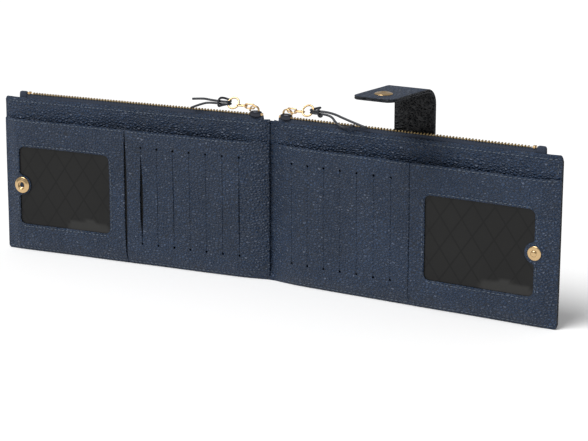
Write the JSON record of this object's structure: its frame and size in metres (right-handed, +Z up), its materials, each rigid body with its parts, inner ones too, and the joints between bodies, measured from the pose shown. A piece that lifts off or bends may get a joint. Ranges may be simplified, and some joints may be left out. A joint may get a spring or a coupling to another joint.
{
  "type": "long folding wallet",
  "caption": "Long leather purse in two zipped halves that fold together, with card slits, identity windows and a snap strap, standing open.",
  "frame": {"origin": "middle of the base of the whole purse as it stands open, on the surface it stands on", "axes": "+Z up, +X along the length towards the half with the strap, -Y out of the inside faces towards the viewer"},
  "size_m": [0.3746, 0.0516, 0.1298],
  "materials": {
    "leather": "navy pebble grain",
    "lace": "soft dark lace",
    "lining": "matt black woven lining",
    "tape": "woven dark navy zip tape",
    "film": "clear pliable film",
    "thread": "grey blue twisted thread",
    "gold": "polished light gold plate"
  },
  "bodies": {
    "right_half": {"right_outer_shell": "leather", "right_zip_wall": "leather", "right_zip_bag": "lining", "right_card_backing": "lining", "right_card_panel": "leather", "right_card_pockets": "lining", "right_window_frame": "leather", "right_window_film": "film", "right_window_lining": "lining", "right_zip_tape_front": "tape", "right_zip_tape_back": "tape", "right_zip_teeth_front": "gold", "right_zip_teeth_back": "gold", "right_zip_stops": "gold", "right_zip_end_tab": "leather", "right_inside_snap": "gold", "right_inside_snap_back": "gold", "right_stitching": "thread", "spine_leather": "leather", "strap_base": "leather", "strap_stitching": "thread"},
    "left_half": {"left_outer_shell": "leather", "left_zip_wall": "leather", "left_zip_bag": "lining", "left_card_backing": "lining", "left_card_panel": "leather", "left_card_pockets": "lining", "left_window_frame": "leather", "left_window_film": "film", "left_window_lining": "lining", "left_zip_tape_front": "tape", "left_zip_tape_back": "tape", "left_zip_teeth_front": "gold", "left_zip_teeth_back": "gold", "left_zip_stops": "gold", "left_zip_end_tab": "leather", "left_inside_snap": "gold", "left_inside_snap_back": "gold", "left_stitching": "thread", "closure_stud": "gold", "closure_stud_back": "gold"},
    "strap": {"strap_outer": "leather", "strap_inner": "leather", "strap_snap_cap": "gold", "strap_snap_socket": "gold"},
    "right_slider": {"right_zip_slider": "gold"},
    "right_link_a": {"right_pull_link_a": "gold"},
    "right_link_b": {"right_pull_link_b": "gold"},
    "right_ring": {"right_pull_ring": "gold", "right_pull_lace": "lace"},
    "left_slider": {"left_zip_slider": "gold"},
    "left_link_a": {"left_pull_link_a": "gold"},
    "left_link_b": {"left_pull_link_b": "gold"},
    "left_ring": {"left_pull_ring": "gold", "left_pull_lace": "lace"}
  },
  "joints": [
    {"name": "spine_fold", "type": "hinge", "parent": "right_half", "child": "left_half", "pos_m": [0, 0.01613, 0], "axis": [0, 0, 1], "range_deg": [-6, 174], "deforming": ["spine_leather"]},
    {"name": "strap_fold", "type": "hinge", "parent": "right_half", "child": "strap", "pos_m": [0.09393, 0.02192, 0.1048], "axis": [0.9986, -0.0523, 0], "range_deg": [-100, 90]},
    {"name": "right_zip_run", "type": "slide", "parent": "right_half", "child": "right_slider", "axis": [0.9986, -0.0523, 0], "range_m": [0, 0.154]},
    {"name": "right_pull_lift", "type": "hinge", "parent": "right_slider", "child": "right_link_a", "pos_m": [0.01234, 0.02234, 0.1064], "axis": [-0.0523, -0.9986, 0], "range_deg": [0, 50]},
    {"name": "right_link_lift", "type": "hinge", "parent": "right_link_a", "child": "right_link_b", "pos_m": [0.01649, 0.02212, 0.1064], "axis": [-0.0523, -0.9986, 0], "range_deg": [0, 20]},
    {"name": "right_ring_lift", "type": "hinge", "parent": "right_link_b", "child": "right_ring", "pos_m": [0.02288, 0.02179, 0.1064], "axis": [-0.0523, -0.9986, 0], "range_deg": [0, 20]},
    {"name": "left_zip_run", "type": "slide", "parent": "left_half", "child": "left_slider", "axis": [-0.9986, -0.0523, 0], "range_m": [0, 0.154]},
    {"name": "left_pull_lift", "type": "hinge", "parent": "left_slider", "child": "left_link_a", "pos_m": [-0.01234, 0.02234, 0.1064], "axis": [-0.0523, 0.9986, 0], "range_deg": [0, 50]},
    {"name": "left_link_lift", "type": "hinge", "parent": "left_link_a", "child": "left_link_b", "pos_m": [-0.01649, 0.02212, 0.1064], "axis": [-0.0523, 0.9986, 0], "range_deg": [0, 20]},
    {"name": "left_ring_lift", "type": "hinge", "parent": "left_link_b", "child": "left_ring", "pos_m": [-0.02288, 0.02179, 0.1064], "axis": [-0.0523, 0.9986, 0], "range_deg": [0, 20]}
  ]
}
